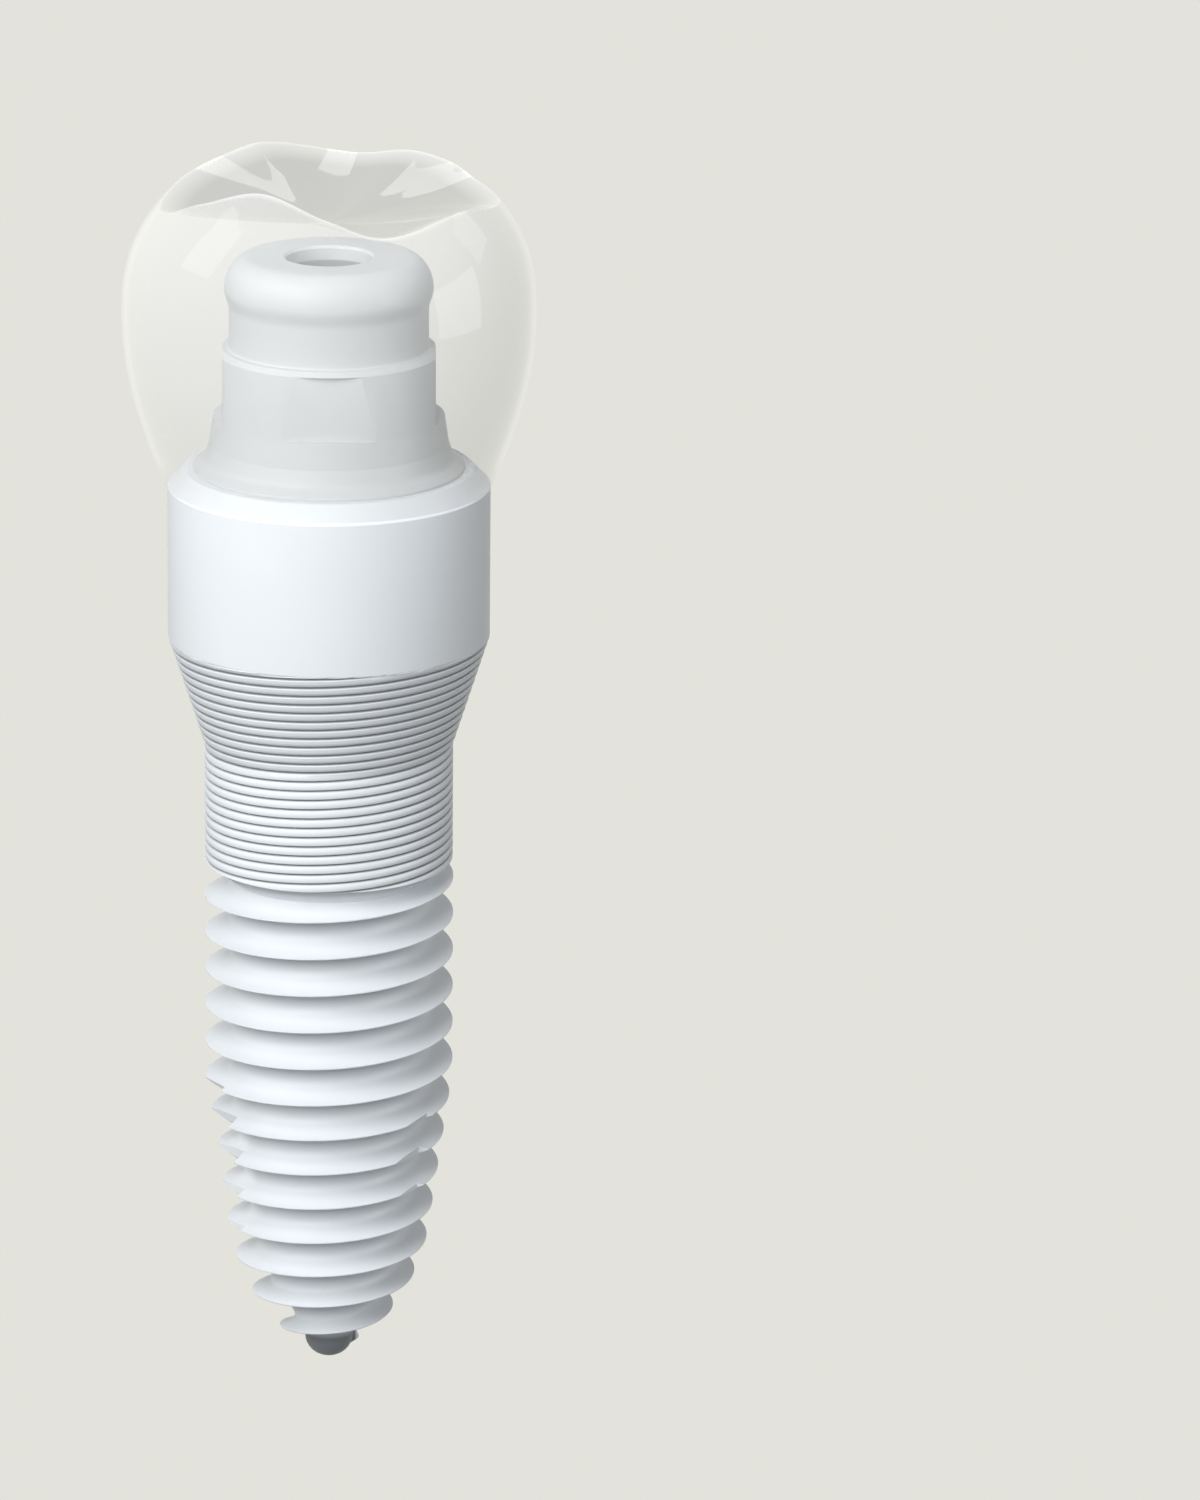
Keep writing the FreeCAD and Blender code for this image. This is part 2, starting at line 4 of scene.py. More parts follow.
import bpy
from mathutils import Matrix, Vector


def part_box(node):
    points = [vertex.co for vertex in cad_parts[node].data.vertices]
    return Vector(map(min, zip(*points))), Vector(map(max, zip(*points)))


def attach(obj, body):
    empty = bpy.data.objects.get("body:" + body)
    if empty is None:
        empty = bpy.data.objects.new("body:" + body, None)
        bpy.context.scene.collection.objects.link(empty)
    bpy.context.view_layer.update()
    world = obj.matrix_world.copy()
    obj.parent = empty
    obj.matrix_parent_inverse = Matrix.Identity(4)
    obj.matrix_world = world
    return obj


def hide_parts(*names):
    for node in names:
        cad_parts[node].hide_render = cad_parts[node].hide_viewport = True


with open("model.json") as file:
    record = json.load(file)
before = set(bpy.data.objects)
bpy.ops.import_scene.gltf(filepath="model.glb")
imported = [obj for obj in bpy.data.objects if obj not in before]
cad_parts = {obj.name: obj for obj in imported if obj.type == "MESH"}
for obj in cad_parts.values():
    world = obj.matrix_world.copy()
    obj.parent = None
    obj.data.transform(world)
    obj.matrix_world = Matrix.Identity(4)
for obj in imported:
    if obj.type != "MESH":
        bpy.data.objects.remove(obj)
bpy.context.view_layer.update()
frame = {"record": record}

# Dental implant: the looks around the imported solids.
# Pieces are modelled in millimetres and brought to metres at the end. The fixture's axis is Z, the
# crown is up and the camera looks from the front, along +Y. An azimuth is measured from the front
# (-Y) towards +X.

MM = 0.001

# Steps around a turned form, around a bore and in a fillet
AROUND = 160
AROUND_BORE = 64
FILLET_STEPS = 6
# Vertices this near are merged, and edges up to this angle are shaded smooth
MERGE = 1e-4
SMOOTH_ANGLE = math.radians(32)

# Sizes read from the frame, in millimetres
mounts = {mount["name"]: mount for mount in frame["record"]["mounts"]}
fixture_low, fixture_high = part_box("implant_body")
abutment_low, abutment_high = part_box("abutment")
screw_low, screw_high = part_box("abutment_screw")
crown_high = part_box("crown")[1]
COLLAR_RADIUS = mounts["collar"]["dims"]["r_mm"]
COLLAR_BOTTOM = -mounts["collar"]["dims"]["length_mm"]
LAND_HEIGHT = fixture_high.z / MM
LAND_RADIUS = COLLAR_RADIUS - LAND_HEIGHT
CREST_RADIUS = mounts["bone_thread"]["dims"]["r_mm"]
NECK_BOTTOM = mounts["bone_thread"]["pos_m"][2] / MM
TIP_BOTTOM = fixture_low.z / MM
ABUTMENT_TOP = abutment_high.z / MM
ABUTMENT_BOTTOM = abutment_low.z / MM
SCREW_TOP = screw_high.z / MM
SCREW_BOTTOM = screw_low.z / MM
SKIRT_RADIUS = abutment_high.x / MM
SCREW_HEAD_RADIUS = screw_high.x / MM

# The fixture's own sizes
NECK_RADIUS = 1.94
NECK_TOP = -4.15
PITCH = 0.6
THREAD_DEPTH = 0.42
CREST_AT_FRONT = NECK_BOTTOM - 0.485
STRAIGHT_BOTTOM = -9.6
TAPER_BOTTOM = -12.1
TAPER_SLOPE = math.radians(8.1)
NOSE_RADIUS = 3.25
TIP_RADIUS = 0.38
TIP_FLAT = 0.04
# How far the thread's skin lies under the round of the tip
TIP_COVER = 0.02
# Where the thread starts and ends, in turns from the first crest at the front, and how much of a
# turn each takes
THREAD_START = 285 / 360
THREAD_END = 85 / 360 - 13
START_RAMP = 0.02
END_RAMP = 0.04
MICRO_PITCH = 0.15
MICRO_AT_FRONT = -2.43
MICRO_DEPTH = 0.05
SOCKET_MOUTH = 1.47
SOCKET_END = 1.24
SOCKET_BOTTOM = -1.58
HEX_BOTTOM = -2.53
HEX_WIDTH = 1.94
BORE_RADIUS = 0.52
BORE_BOTTOM = -6.13
FLUTE_FULL_DEPTH = -11.0
FLUTE_WHEEL = 3.1
FLUTE_LEAN = math.radians(30)
FLUTE_SWING = math.radians(34)
FLUTE_STEPS = 14
# Azimuth of each flute and its floor's distance from the axis
FLUTES = ((-62, 1.5), (58, 1.64), (178, 1.5))


# Modelling helpers

def select_only(piece):
    bpy.ops.object.select_all(action="DESELECT")
    piece.select_set(True)
    bpy.context.view_layer.objects.active = piece


def apply_place():
    """Works the selected piece's place, turn and size into its mesh."""
    bpy.ops.object.transform_apply(location=True, rotation=True, scale=True)


def new_plane(name, size, height=0):
    """A level square on the axis, and the only thing selected."""
    bpy.ops.object.select_all(action="DESELECT")
    bpy.ops.mesh.primitive_plane_add(size=size, location=(0, 0, height))
    piece = bpy.context.active_object
    piece.name = name
    return piece


def chain(name, points):
    """A line of vertices from radius and height pairs, standing at the front of the axis."""
    places = [Vector((0, -radius, height)) for radius, height in points]
    piece = new_plane(name, 1)
    bpy.ops.object.mode_set(mode="EDIT")
    # The square becomes one vertex, which is drawn out from point to point
    bpy.ops.mesh.merge(type="CENTER")
    bpy.ops.transform.translate(value=places[0])
    for before, after in zip(places, places[1:]):
        bpy.ops.mesh.extrude_region_move(TRANSFORM_OT_translate={"value": after - before})
    bpy.ops.object.mode_set(mode="OBJECT")
    return piece


def closed_skin(piece):
    """Merges doubled vertices and turns the faces outwards."""
    select_only(piece)
    bpy.ops.object.mode_set(mode="EDIT")
    bpy.ops.mesh.select_all(action="SELECT")
    bpy.ops.mesh.remove_doubles(threshold=MERGE)
    bpy.ops.mesh.normals_make_consistent(inside=False)
    bpy.ops.object.mode_set(mode="OBJECT")
    return piece


def turned(name, points, steps=AROUND):
    """A form turned about the axis from its outline."""
    piece = chain(name, points)
    bpy.ops.object.mode_set(mode="EDIT")
    bpy.ops.mesh.select_all(action="SELECT")
    bpy.ops.mesh.spin(steps=steps, angle=math.tau, center=(0, 0, 0), axis=(0, 0, 1))
    bpy.ops.object.mode_set(mode="OBJECT")
    return closed_skin(piece)


def rounded(corners):
    """An outline whose corners are rounded: each corner is radius, height and its fillet, or none."""
    points = []
    for index, corner in enumerate(corners):
        here = Vector(corner[:2])
        if len(corner) < 3:
            points.append(tuple(here))
            continue
        before = (Vector(corners[index - 1][:2]) - here).normalized()
        after = (Vector(corners[(index + 1) % len(corners)][:2]) - here).normalized()
        half = before.angle(after) / 2
        centre = here + (before + after).normalized() * (corner[2] / math.sin(half))
        reach = corner[2] / math.tan(half)
        start = here + before * reach - centre
        end = here + after * reach - centre
        sweep = start.angle_signed(end)
        for step in range(FILLET_STEPS + 1):
            turned_by = -sweep * step / FILLET_STEPS
            cosine = math.cos(turned_by)
            sine = math.sin(turned_by)
            points.append((
                centre.x + start.x * cosine - start.y * sine,
                centre.y + start.x * sine + start.y * cosine,
            ))
    return points


def apply_modifier(piece, kind, **settings):
    select_only(piece)
    modifier = piece.modifiers.new(kind.lower(), kind)
    for name, value in settings.items():
        setattr(modifier, name, value)
    bpy.ops.object.modifier_apply(modifier=modifier.name)
    return piece


def combine(piece, operation, others):
    """Joins the others to a piece, or cuts them out of it, and removes them."""
    group = bpy.data.collections.new("tools")
    for other in others:
        group.objects.link(other)
    apply_modifier(piece, "BOOLEAN", operation=operation, operand_type="COLLECTION",
                   collection=group, solver="MANIFOLD")
    for other in others:
        bpy.data.objects.remove(other)
    bpy.data.collections.remove(group)
    return piece


def trim(piece, height, keep_above):
    """Cuts a piece off level at a height and closes the cut."""
    select_only(piece)
    bpy.ops.object.mode_set(mode="EDIT")
    bpy.ops.mesh.select_all(action="SELECT")
    bpy.ops.mesh.bisect(plane_co=(0, 0, height), plane_no=(0, 0, 1), use_fill=True,
                        clear_inner=keep_above, clear_outer=not keep_above)
    bpy.ops.object.mode_set(mode="OBJECT")
    return piece


def finished(piece, node, material):
    """Brings a piece to metres and hands it to the frame. The crown comes with its two materials on."""
    if material:
        piece.data.materials.clear()
        piece.data.materials.append(material)
        for face in piece.data.polygons:
            face.material_index = 0
    select_only(piece)
    piece.scale = (MM, MM, MM)
    apply_place()
    bpy.ops.object.shade_smooth_by_angle(angle=SMOOTH_ANGLE)
    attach(piece, "root")
    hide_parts(node)
    return piece


def azimuth(place):
    """Degrees from the front towards +X."""
    return math.degrees(math.atan2(place.x, -place.y))


def helical_skin(name, tooth, pitch, starts, top, bottom, radius_at):
    """A threaded skin between two heights.

    tooth is one pitch of the outline, from its top down, as share and drop. The share is nought on the
    outside and one at the thread's root, and radius_at gives the radius for a place and a share.
    """
    lead = pitch * starts
    rows = math.ceil((top - bottom) / pitch) + 3 * starts
    # The skin is first made at a radius of one plus the share, and brought to its real radius below
    highest = first_height(top, pitch, starts)
    points = [(1 + share, highest - drop) for share, drop in tooth]
    points.append((points[0][0], points[0][1] - pitch))
    piece = chain(name, points)
    apply_modifier(piece, "ARRAY", count=rows, use_relative_offset=False, use_constant_offset=True,
                   constant_offset_displace=(0, 0, -pitch), use_merge_vertices=True,
                   merge_threshold=MERGE)
    apply_modifier(piece, "SCREW", angle=math.tau, screw_offset=lead, iterations=1, steps=AROUND,
                   render_steps=AROUND, axis="Z", use_smooth_shade=True)
    closed_skin(piece)
    for vertex in piece.data.vertices:
        place = vertex.co
        across = math.hypot(place.x, place.y)
        radius = radius_at(place, across - 1)
        place.x *= radius / across
        place.y *= radius / across
    trim(piece, top, False)
    trim(piece, bottom, True)
    return closed_skin(piece)


def first_height(top, pitch, starts):
    """Height of the first groove or crest at the front, above all that is kept."""
    datum = MICRO_AT_FRONT if starts > 1 else CREST_AT_FRONT
    return datum + pitch * (math.ceil((top - datum) / pitch) + 1)


def smoothstep(value):
    value = min(max(value, 0.0), 1.0)
    return value * value * (3 - 2 * value)


def crest_at(height):
    """The crest's radius at a height: a cylinder, a straight taper, then the nose's arc."""
    below = STRAIGHT_BOTTOM - height
    straight = STRAIGHT_BOTTOM - TAPER_BOTTOM
    if below <= 0:
        return CREST_RADIUS
    if below <= straight:
        return CREST_RADIUS - below * math.tan(TAPER_SLOPE)
    taper_end = CREST_RADIUS - straight * math.tan(TAPER_SLOPE)
    sine = min(math.sin(TAPER_SLOPE) + (below - straight) / NOSE_RADIUS, 1.0)
    return taper_end - NOSE_RADIUS * (math.cos(TAPER_SLOPE) - math.sqrt(1 - sine * sine))


def core_at(height):
    """The core's radius at a height, down into the round tip."""
    rounding = TIP_RADIUS - TIP_FLAT
    below = TIP_BOTTOM + rounding - height
    if below <= 0:
        return max(crest_at(height) - THREAD_DEPTH, TIP_RADIUS)
    return TIP_FLAT + math.sqrt(max(rounding * rounding - below * below, 0)) - TIP_COVER


# The fixture

def main_thread():
    """The single-start thread: thin crests, a hollow upper side and a level underside."""
    tooth = [
        (0.0, -0.015), (0.2, 0.022), (0.5, 0.045), (0.8, 0.09), (0.95, 0.145), (1.0, 0.22),
        (0.995, 0.3), (0.95, 0.375), (0.84, 0.435), (0.66, 0.48), (0.4, 0.522), (0.16, 0.553),
        (0.0, 0.57),
    ]

    def radius_at(place, share):
        turn = azimuth(place) / 360
        rise = (place.z - CREST_AT_FRONT) / PITCH - turn
        number = math.floor(rise)
        # What lies close under a crest belongs to that crest, and the rest to the next one down
        if rise - number > 0.6:
            number += 1
        along = number + turn
        started = smoothstep((THREAD_START - along) / START_RAMP)
        present = started * smoothstep((along - THREAD_END) / END_RAMP)
        core = core_at(place.z)
        crest = max(crest_at(place.z), core)
        return core + (crest - core) * present * (1 - share)

    top = NECK_BOTTOM + 0.15
    bottom = TIP_BOTTOM + 0.12
    return helical_skin("main_thread", tooth, PITCH, 1, top, bottom, radius_at)


def micro_thread():
    """The four-start micro-thread on the cone and the neck: rounded bands between fine grooves."""
    tooth = [
        (1.0, 0.0), (0.9, 0.008), (0.35, 0.019), (0.08, 0.034), (0.0, 0.075), (0.08, 0.116),
        (0.35, 0.131), (0.9, 0.142),
    ]

    def radius_at(place, share):
        # Above the collar's lower edge the skin slants into the collar
        if place.z > COLLAR_BOTTOM:
            return COLLAR_RADIUS - 0.002 - (place.z - COLLAR_BOTTOM)
        down = min((COLLAR_BOTTOM - place.z) / (COLLAR_BOTTOM - NECK_TOP), 1.0)
        outside = COLLAR_RADIUS + (NECK_RADIUS - COLLAR_RADIUS) * down
        # The bands are flatter on the neck than on the cone, and the grooves fade out at the collar
        flatness = 1 + 0.6 * smoothstep((NECK_TOP - place.z) / 0.1)
        depth = MICRO_DEPTH * smoothstep((COLLAR_BOTTOM - place.z) / 0.03)
        return outside - depth * max(share, 0)**flatness

    top = COLLAR_BOTTOM + 0.15
    return helical_skin("micro_thread", tooth, MICRO_PITCH, 4, top, NECK_BOTTOM, radius_at)


def flute_cutter(angle, floor):
    """What the milling wheel takes out for one flute: a flat floor and one slanted wall."""
    reach = COLLAR_RADIUS
    lean = (reach - floor) * math.tan(FLUTE_LEAN)
    piece = new_plane("flute", 1)
    section = [(0, floor), (reach, floor), (-lean, reach), (reach, reach)]
    for vertex, (across, out) in zip(piece.data.vertices, section):
        vertex.co = (across, out, TIP_BOTTOM - 1)
    bpy.ops.object.mode_set(mode="EDIT")
    bpy.ops.mesh.select_all(action="SELECT")
    rise = FLUTE_FULL_DEPTH - TIP_BOTTOM + 1
    bpy.ops.mesh.extrude_region_move(TRANSFORM_OT_translate={"value": (0, 0, rise)})
    # The upper end runs out along the wheel's rim
    before = (0.0, 0.0)
    for step in range(1, FLUTE_STEPS + 1):
        angle_now = FLUTE_SWING * step / FLUTE_STEPS
        now = (FLUTE_WHEEL * (1 - math.cos(angle_now)), FLUTE_WHEEL * math.sin(angle_now))
        bpy.ops.mesh.extrude_region_move(
            TRANSFORM_OT_translate={"value": (0, now[0] - before[0], now[1] - before[1])})
        before = now
    bpy.ops.object.mode_set(mode="OBJECT")
    piece.rotation_euler.z = math.radians(180 + angle)
    select_only(piece)
    apply_place()
    return closed_skin(piece)


def hexagon_cutter(width, top, bottom):
    bpy.ops.object.select_all(action="DESELECT")
    bpy.ops.mesh.primitive_cylinder_add(
        vertices=6, radius=width / math.sqrt(3), depth=top - bottom,
        location=(0, 0, (top + bottom) / 2), rotation=(0, 0, math.pi / 6))
    piece = bpy.context.active_object
    apply_place()
    return piece


def fixture():
    """The titanium fixture: its turned bar, both threads, the socket and the flutes."""
    rounding = TIP_RADIUS - TIP_FLAT
    inside_neck = NECK_RADIUS - 0.12
    core = CREST_RADIUS - THREAD_DEPTH
    tip_steps = 8
    tip = []
    for step in range(tip_steps + 1):
        angle = math.radians(90 * step / tip_steps)
        tip.append((TIP_FLAT + rounding * math.cos(angle),
                    TIP_BOTTOM + rounding * (1 - math.sin(angle))))
    outline = rounded([
        (0, LAND_HEIGHT),
        (LAND_RADIUS, LAND_HEIGHT, 0.02),
        (COLLAR_RADIUS, 0, 0.02),
        (COLLAR_RADIUS, COLLAR_BOTTOM, 0.015),
        (COLLAR_RADIUS - 0.15, COLLAR_BOTTOM - 0.001),
        (inside_neck, NECK_TOP),
        (inside_neck, NECK_BOTTOM + 0.1),
        (NECK_RADIUS - 0.05, NECK_BOTTOM + 0.01),
        (NECK_RADIUS - 0.05, NECK_BOTTOM - 0.02),
        (core, NECK_BOTTOM - 0.3, 0.05),
        (core - 0.001, NECK_BOTTOM - 0.5),
        (core - 0.1, NECK_BOTTOM - 0.6),
        (core - 0.1, STRAIGHT_BOTTOM),
        (core - 0.46, TAPER_BOTTOM),
        (TIP_RADIUS - 0.04, TIP_BOTTOM + 0.75),
        (TIP_RADIUS, TIP_BOTTOM + 0.6),
    ]) + tip + [(0, TIP_BOTTOM)]
    piece = turned("fixture", outline)
    combine(piece, "UNION", [micro_thread(), main_thread()])
    socket = turned("socket", [
        (0, LAND_HEIGHT + 0.2),
        (SOCKET_MOUTH, LAND_HEIGHT + 0.2),
        (SOCKET_MOUTH, LAND_HEIGHT),
        (SOCKET_END, SOCKET_BOTTOM),
        (BORE_RADIUS, SOCKET_BOTTOM),
        (BORE_RADIUS, BORE_BOTTOM),
        (0, BORE_BOTTOM - 0.3),
    ], steps=AROUND_BORE)
    cutters = [socket, hexagon_cutter(HEX_WIDTH, SOCKET_BOTTOM + 0.1, HEX_BOTTOM)]
    cutters += [flute_cutter(angle, floor) for angle, floor in FLUTES]
    combine(piece, "DIFFERENCE", cutters)
    look = titanium("fixture_titanium", FIXTURE_TONE, fixture_shade)
    return finished(piece, "implant_body", look)


# The abutment and its screw

CHANNEL_RADIUS = 0.66
CHANNEL_MOUTH = 0.7
SCREW_SEAT = 0.35


def abutment():
    """The post that carries the crown: snap head, neck groove, four flats and a hollow skirt."""
    top = ABUTMENT_TOP
    seat = LAND_HEIGHT
    flat_bottom = 0.83
    flat_reach = 1.64
    neck = 1.54
    level_top = 1.22
    widest = 1.61
    head_round = 0.508
    head_return = 0.3
    round_steps = 12
    return_steps = 8
    head = []
    for step in range(round_steps + 1):
        turn = math.pi / 2 * step / round_steps
        head.append((level_top + (widest - level_top) * math.sin(turn),
                     top - head_round * (1 - math.cos(turn))))
    for step in range(1, return_steps + 1):
        way = step / return_steps
        head.append((neck + (widest - neck) * math.cos(math.pi / 2 * way)**2,
                     top - head_round - head_return * way))
    outline = rounded([
        (CHANNEL_MOUTH, top, 0.015),
        *head,
        (neck, top - 1.425, 0.03),
        (1.645, top - 1.425, 0.02),
        (1.71, top - 1.505, 0.02),
        (1.79, seat + flat_bottom, 0.02),
        (1.85, seat + 0.42, 0.1),
        (1.93, seat + 0.17, 0.2),
        (SKIRT_RADIUS, seat + 0.05, 0.03),
        (SKIRT_RADIUS, seat, 0.01),
        (1.45, seat, 0.01),
        (SOCKET_END - 0.02, SOCKET_BOTTOM + 0.02, 0.03),
        (0.9, SOCKET_BOTTOM + 0.02),
        (0.9, ABUTMENT_BOTTOM, 0.03),
        (BORE_RADIUS, ABUTMENT_BOTTOM, 0.02),
        (BORE_RADIUS, seat + SCREW_SEAT),
        (CHANNEL_RADIUS, seat + SCREW_SEAT, 0.01),
        (CHANNEL_RADIUS, top - 0.04, 0.01),
    ])
    piece = turned("abutment_post", outline + outline[:1])
    # The front and back flats end below the step's chamfer, and the side ones run out through it
    flats = []
    for quarter, flat_end in enumerate((1.84, 1.97, 1.84, 1.97)):
        height = flat_end - flat_bottom
        bpy.ops.object.select_all(action="DESELECT")
        bpy.ops.mesh.primitive_cube_add(
            size=1, location=(0, -flat_reach - 0.5, seat + flat_bottom + height / 2),
            scale=(4, 1, height))
        box = bpy.context.active_object
        apply_place()
        bpy.ops.transform.rotate(value=math.pi / 2 * quarter, orient_axis="Z",
                                 center_override=(0, 0, 0))
        apply_place()
        flats.append(box)
    combine(piece, "DIFFERENCE", flats)
    hexagon = hexagon_cutter(1.9, SOCKET_BOTTOM + 0.1, ABUTMENT_BOTTOM)
    bore_top = SOCKET_BOTTOM + 0.3
    bore_bottom = ABUTMENT_BOTTOM - 0.2
    bore = turned("bore", [
        (0, bore_top), (BORE_RADIUS, bore_top), (BORE_RADIUS, bore_bottom), (0, bore_bottom),
    ], steps=AROUND_BORE)
    combine(hexagon, "DIFFERENCE", [bore])
    combine(piece, "UNION", [hexagon])
    # Darker than the fixture's titanium: painted shade under the crown, and down the channel
    look = titanium("abutment_titanium", SHADED_ABUTMENT_TONE, channel_shade)
    return finished(piece, "abutment", look)


def abutment_screw():
    """The clamping screw: head with the driver's hexagon, waist and threaded end."""
    seat = LAND_HEIGHT + SCREW_SEAT
    thread_top = seat - 2.4
    turn_pitch = 0.25
    waist = 0.4
    thread = 0.5
    outline = rounded([
        (0, SCREW_TOP),
        (SCREW_HEAD_RADIUS, SCREW_TOP, 0.06),
        (SCREW_HEAD_RADIUS, seat, 0.02),
        (waist, seat, 0.04),
        (waist, thread_top),
    ])
    height = thread_top
    while height - turn_pitch > SCREW_BOTTOM + 0.1:
        outline += [(thread, height - turn_pitch * 0.45), (thread, height - turn_pitch * 0.6),
                    (waist, height - turn_pitch)]
        height -= turn_pitch
    outline += [(waist, SCREW_BOTTOM), (0, SCREW_BOTTOM)]
    piece = turned("clamping_screw", outline, steps=AROUND_BORE)
    combine(piece, "DIFFERENCE", [hexagon_cutter(0.7, SCREW_TOP + 0.2, SCREW_TOP - 0.5)])
    look = titanium("screw_titanium", FIXTURE_TONE)
    return finished(piece, "abutment_screw", look)


# The crown

# Points on the ridge around the chewing surface: azimuth, radius, height
RIDGE = [
    (-151, 2.17, 4.97), (-134, 2.29, 4.83), (-115, 2.40, 4.68), (-78, 2.60, 4.43), (-50, 2.50, 4.80),
    (-25, 2.37, 5.08), (0, 2.46, 4.72), (19, 2.54, 4.45), (51, 2.57, 4.68), (74, 2.61, 4.54),
    (97, 2.62, 4.46), (118, 2.58, 4.53), (130, 2.50, 4.71), (146, 2.30, 4.84), (169, 2.24, 4.74),
]
CROWN_MARGIN = 2.55
CROWN_MARGIN_HEIGHT = 0.06
CROWN_BULGE = crown_high.x / MM - 0.02
CROWN_BULGE_HEIGHT = 2.7
FOSSA_HEIGHT = 4.15
# How much fuller the crown is between its sides, and the powers that curve its wall and its pit
CORNER_FULLNESS = 0.06
WALL_CURVE = 2.6
PIT_CURVE = 1.7
CEMENT = 0.06
HOLLOW_RADIUS = 1.91


def around_ridge(angle):
    """Radius and height of the ridge at an azimuth, on a smooth closed curve through its points."""
    count = len(RIDGE)
    angle = (angle - RIDGE[0][0]) % 360 + RIDGE[0][0]
    index = max(number for number in range(count) if RIDGE[number][0] <= angle)
    points = []
    for offset in (-1, 0, 1, 2):
        laps, number = divmod(index + offset, count)
        degrees, radius, height = RIDGE[number]
        points.append((degrees + 360 * laps, radius, height))
    # A cubic between the two middle points, with its slopes taken from their neighbours
    (a0, *p0), (a1, *p1), (a2, *p2), (a3, *p3) = points
    u = (angle - a1) / (a2 - a1)
    values = []
    for v0, v1, v2, v3 in zip(p0, p1, p2, p3):
        m1 = (v2 - v0) / (a2 - a0) * (a2 - a1)
        m2 = (v3 - v1) / (a3 - a1) * (a2 - a1)
        values.append((2 * u**3 - 3 * u**2 + 1) * v1 + (u**3 - 2 * u**2 + u) * m1
                      + (3 * u**2 - 2 * u**3) * v2 + (u**3 - u**2) * m2)
    return values


def crown_place(angle, along):
    """A point on the crown: 0 is the margin, 1 the bulge, 2 the ridge and 3 the central pit."""
    radius, height = around_ridge(angle)
    # A little fuller between the front, the back and the sides
    bulge = CROWN_BULGE + CORNER_FULLNESS * (1 - math.cos(math.radians(4 * angle)))
    if along <= 1:
        rise = along
        out = CROWN_MARGIN + (bulge - CROWN_MARGIN) * math.sin(math.pi / 2 * rise)
        up = CROWN_MARGIN_HEIGHT + (CROWN_BULGE_HEIGHT - CROWN_MARGIN_HEIGHT) * rise
    elif along <= 2:
        rise = along - 1
        out = bulge - (bulge - radius) * rise**WALL_CURVE
        up = CROWN_BULGE_HEIGHT + (height - CROWN_BULGE_HEIGHT) * rise
    else:
        inward = 3 - along
        out = radius * inward
        up = FOSSA_HEIGHT + (height - FOSSA_HEIGHT) * inward**PIT_CURVE
    return out, up


def crown():
    """The crown: its outside, shaped row by row, and the hollow that fits over the abutment."""
    # Rows of the grid, numbered as in crown_place and closest at the ridge
    rows = [row / 30 for row in range(55)]
    rows += [2 + step * 0.01 for step in range(-9, 10)]
    rows += [2.13 + row * 0.03 for row in range(30)]
    piece = turned("ceramic_crown", [(1, row) for row in rows])
    along = piece.data.attributes.new("along", "FLOAT", "POINT")
    for vertex in piece.data.vertices:
        along.data[vertex.index].value = vertex.co.z
        out, up = crown_place(azimuth(vertex.co), vertex.co.z)
        across = math.hypot(vertex.co.x, vertex.co.y)
        vertex.co = (vertex.co.x / across * out, vertex.co.y / across * out, up)
    rest = LAND_HEIGHT + 0.005
    roof = ABUTMENT_TOP + 0.12
    hollow = turned("crown_hollow", rounded([
        (CROWN_MARGIN, CROWN_MARGIN_HEIGHT),
        (LAND_RADIUS + CEMENT, rest, 0.02),
        (SKIRT_RADIUS + CEMENT, rest),
        (SKIRT_RADIUS + CEMENT, LAND_HEIGHT + 0.11),
        (HOLLOW_RADIUS, LAND_HEIGHT + 0.48, 0.2),
        (HOLLOW_RADIUS, roof, 0.3),
        (0, roof),
    ]))
    piece.data.materials.append(ceramic("crown_ceramic"))
    hollow.data.materials.append(clear_film("crown_inside"))
    select_only(piece)
    hollow.select_set(True)
    bpy.ops.object.join()
    closed_skin(piece)
    return finished(piece, "crown", None)


# Materials

# Base colours, and how far each place with painted shade goes towards the painted shade's colour
FIXTURE_TONE = (0.795, 0.815, 0.84)
# The abutment's titanium is darker than the fixture's, as painted shade from the crown over it
SHADED_ABUTMENT_TONE = (0.61, 0.615, 0.62)
PAINTED_SHADE_COLOUR = (0.16, 0.17, 0.19)
GROOVE_PAINTED_SHADE = 0.85
PIN_PAINTED_SHADE = 0.95
ROOT_PAINTED_SHADE = 0.5
CHANNEL_PAINTED_SHADE = 0.8
HAZE = (0.71, 0.71, 0.70)
CHEWING_SURFACE_TONE_AND_SHADE = (0.27, 0.27, 0.275)
# Colour of the painted light added as emission on the crown's rim and ridge
PAINTED_RIM_LIGHT = (0.46, 0.45, 0.42)
BLACK = (0, 0, 0)


class Wire:
    """A number or colour on a socket. Arithmetic on it adds Math nodes."""

    def __init__(self, tree, socket):
        self.tree = tree
        self.socket = socket

    def maths(self, operation, first, second=0.0):
        return add_node(self.tree, "ShaderNodeMath", {"operation": operation}, {0: first, 1: second})

    def __add__(self, other):
        return self.maths("ADD", self, other)

    __radd__ = __add__

    def __mul__(self, other):
        return self.maths("MULTIPLY", self, other)

    __rmul__ = __mul__

    def __sub__(self, other):
        return self.maths("SUBTRACT", self, other)

    def __rsub__(self, other):
        return self.maths("SUBTRACT", other, self)

    def __pow__(self, other):
        return self.maths("POWER", self, other)

    def __abs__(self):
        return self.maths("ABSOLUTE", self)

    def at_least(self, other):
        return self.maths("MAXIMUM", self, other)

    def at_most(self, other):
        return self.maths("MINIMUM", self, other)

    def ramp(self, width):
        """Nought up to zero, and then rising to one over a width."""
        return (self * (1 / width)).at_least(0.0).at_most(1.0)


